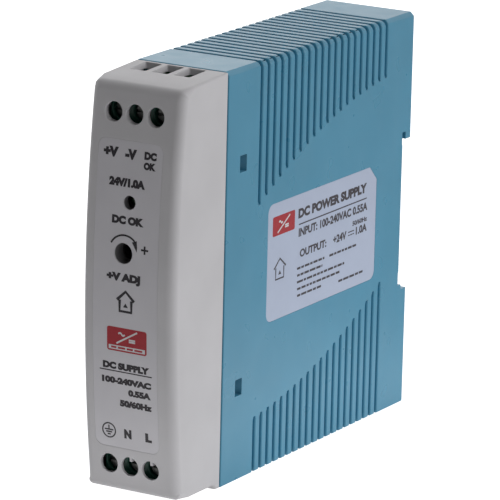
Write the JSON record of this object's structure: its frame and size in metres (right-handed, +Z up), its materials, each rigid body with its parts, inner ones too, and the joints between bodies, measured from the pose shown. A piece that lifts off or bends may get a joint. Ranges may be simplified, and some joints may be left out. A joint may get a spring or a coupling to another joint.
{
  "type": "din rail power supply",
  "caption": "Slim single-phase switched-mode supply that clips to a top-hat rail, with cage-clamp screw terminals above and below, a status lamp, an output trimmer and a sprung rail latch.",
  "frame": {"origin": "centre of the bottom of the overall box, at the height of the base", "axes": "+X to the right seen from the front, across the width; +Y from the front face back to the rail; +Z up, from the input terminals to the output terminals"},
  "size_m": [0.0226, 0.1, 0.09],
  "materials": {
    "cover_plastic": "fine moulded satin, light grey",
    "housing_plastic": "fine moulded satin, teal blue",
    "label_film": "printed polyester film, satin",
    "latch_plastic": "moulded, satin black",
    "spring_steel": "bright drawn wire",
    "terminal_plastic": "moulded, satin green",
    "screw_steel": "zinc plated",
    "tinned_copper": "bright tin plate",
    "board_laminate": "glass laminate with green solder mask",
    "black_plastic": "moulded, satin black",
    "lamp_lens": "clear tinted epoxy",
    "rotor_plastic": "moulded, ivory",
    "trimmer_plastic": "moulded, blue",
    "insulating_film": "thin translucent sheet",
    "ferrite": "sintered ferrite, dark grey",
    "enamelled_copper": "enamelled copper wire",
    "winding_tape": "yellow polyester tape over copper wire",
    "black_resin": "moulded epoxy resin",
    "capacitor_box": "yellow moulded box",
    "capacitor_sleeve": "shrunk sleeve over an aluminium can",
    "blue_coating": "dipped resin coating",
    "green_coating": "dipped resin coating",
    "resistor_coating": "lacquered ceramic",
    "aluminium_sheet": "plain bent sheet",
    "plated_steel": "nickel plated"
  },
  "bodies": {
    "chassis": {"housing": "housing_plastic", "front_cover": "cover_plastic", "front_label": "label_film", "side_label": "label_film", "latch_spring": "spring_steel", "output_terminal_block": "terminal_plastic", "input_terminal_block": "terminal_plastic", "front_board": "board_laminate", "main_board": "board_laminate", "insulation_film": "insulating_film", "board_link_header": "black_plastic", "led_spacer": "black_plastic", "status_led": "lamp_lens", "trimmer_body": "trimmer_plastic", "mains_fuse": "black_resin", "varistor": "blue_coating", "inrush_thermistor": "green_coating", "x2_capacitor": "capacitor_box", "choke_core": "ferrite", "choke_winding_1": "enamelled_copper", "choke_winding_2": "enamelled_copper", "bridge_rectifier": "black_resin", "bulk_capacitor": "capacitor_sleeve", "transformer_core": "ferrite", "transformer_bobbin": "black_resin", "transformer_winding": "winding_tape", "switching_transistor": "black_resin", "primary_heatsink": "aluminium_sheet", "primary_heatsink_screw": "plated_steel", "controller_chip": "black_resin", "sense_resistor": "resistor_coating", "optocoupler": "black_resin", "y_capacitor": "blue_coating", "output_rectifier": "black_resin", "secondary_heatsink": "aluminium_sheet", "secondary_heatsink_screw": "plated_steel", "output_capacitor_1": "capacitor_sleeve", "output_capacitor_2": "capacitor_sleeve", "output_inductor": "ferrite", "output_contact_bar_1": "tinned_copper", "output_contact_bar_2": "tinned_copper", "output_contact_bar_3": "tinned_copper", "input_contact_bar_1": "tinned_copper", "input_contact_bar_2": "tinned_copper", "input_contact_bar_3": "tinned_copper"},
    "latch": {"latch_slider": "latch_plastic"},
    "trimmer": {"trimmer_rotor": "rotor_plastic"},
    "positive_screw": {"output_screw_1": "screw_steel"},
    "positive_cage": {"output_cage_1": "screw_steel"},
    "negative_screw": {"output_screw_2": "screw_steel"},
    "negative_cage": {"output_cage_2": "screw_steel"},
    "dc_ok_screw": {"output_screw_3": "screw_steel"},
    "dc_ok_cage": {"output_cage_3": "screw_steel"},
    "earth_screw": {"input_screw_1": "screw_steel"},
    "earth_cage": {"input_cage_1": "screw_steel"},
    "neutral_screw": {"input_screw_2": "screw_steel"},
    "neutral_cage": {"input_cage_2": "screw_steel"},
    "line_screw": {"input_screw_3": "screw_steel"},
    "line_cage": {"input_cage_3": "screw_steel"}
  },
  "joints": [
    {"name": "latch_slide", "type": "slide", "parent": "chassis", "child": "latch", "axis": [0, 0, -1], "range_m": [0, 0.003], "stiffness_N_per_m": 1200, "springref_m": -0.002, "deforming": ["latch_spring"]},
    {"name": "trimmer_turn", "type": "hinge", "parent": "chassis", "child": "trimmer", "pos_m": [-0.0012, -0.0367, 0.05365], "axis": [0, 1, 0], "range_deg": [-130, 130]},
    {"name": "positive_screw_turn", "type": "hinge", "parent": "chassis", "child": "positive_screw", "pos_m": [-0.00533, -0.0443, 0.0828], "axis": [0, 1, 0], "range_deg": [0, 1200]},
    {"name": "positive_cage_lift", "type": "slide", "parent": "chassis", "child": "positive_cage", "axis": [0, -1, 0], "range_m": [0, 0.0015]},
    {"name": "negative_screw_turn", "type": "hinge", "parent": "chassis", "child": "negative_screw", "pos_m": [-0.00025, -0.0443, 0.0828], "axis": [0, 1, 0], "range_deg": [0, 1200]},
    {"name": "negative_cage_lift", "type": "slide", "parent": "chassis", "child": "negative_cage", "axis": [0, -1, 0], "range_m": [0, 0.0015]},
    {"name": "dc_ok_screw_turn", "type": "hinge", "parent": "chassis", "child": "dc_ok_screw", "pos_m": [0.00483, -0.0443, 0.0828], "axis": [0, 1, 0], "range_deg": [0, 1200]},
    {"name": "dc_ok_cage_lift", "type": "slide", "parent": "chassis", "child": "dc_ok_cage", "axis": [0, -1, 0], "range_m": [0, 0.0015]},
    {"name": "earth_screw_turn", "type": "hinge", "parent": "chassis", "child": "earth_screw", "pos_m": [-0.00533, -0.0443, 0.0072], "axis": [0, 1, 0], "range_deg": [0, 1200]},
    {"name": "earth_cage_lift", "type": "slide", "parent": "chassis", "child": "earth_cage", "axis": [0, -1, 0], "range_m": [0, 0.0015]},
    {"name": "neutral_screw_turn", "type": "hinge", "parent": "chassis", "child": "neutral_screw", "pos_m": [-0.00025, -0.0443, 0.0072], "axis": [0, 1, 0], "range_deg": [0, 1200]},
    {"name": "neutral_cage_lift", "type": "slide", "parent": "chassis", "child": "neutral_cage", "axis": [0, -1, 0], "range_m": [0, 0.0015]},
    {"name": "line_screw_turn", "type": "hinge", "parent": "chassis", "child": "line_screw", "pos_m": [0.00483, -0.0443, 0.0072], "axis": [0, 1, 0], "range_deg": [0, 1200]},
    {"name": "line_cage_lift", "type": "slide", "parent": "chassis", "child": "line_cage", "axis": [0, -1, 0], "range_m": [0, 0.0015]}
  ],
  "couplings": [
    {"joint": "positive_screw_turn", "follows": "positive_cage_lift", "rad_per_m": 13962},
    {"joint": "negative_screw_turn", "follows": "negative_cage_lift", "rad_per_m": 13962},
    {"joint": "dc_ok_screw_turn", "follows": "dc_ok_cage_lift", "rad_per_m": 13962},
    {"joint": "earth_screw_turn", "follows": "earth_cage_lift", "rad_per_m": 13962},
    {"joint": "neutral_screw_turn", "follows": "neutral_cage_lift", "rad_per_m": 13962},
    {"joint": "line_screw_turn", "follows": "line_cage_lift", "rad_per_m": 13962}
  ]
}
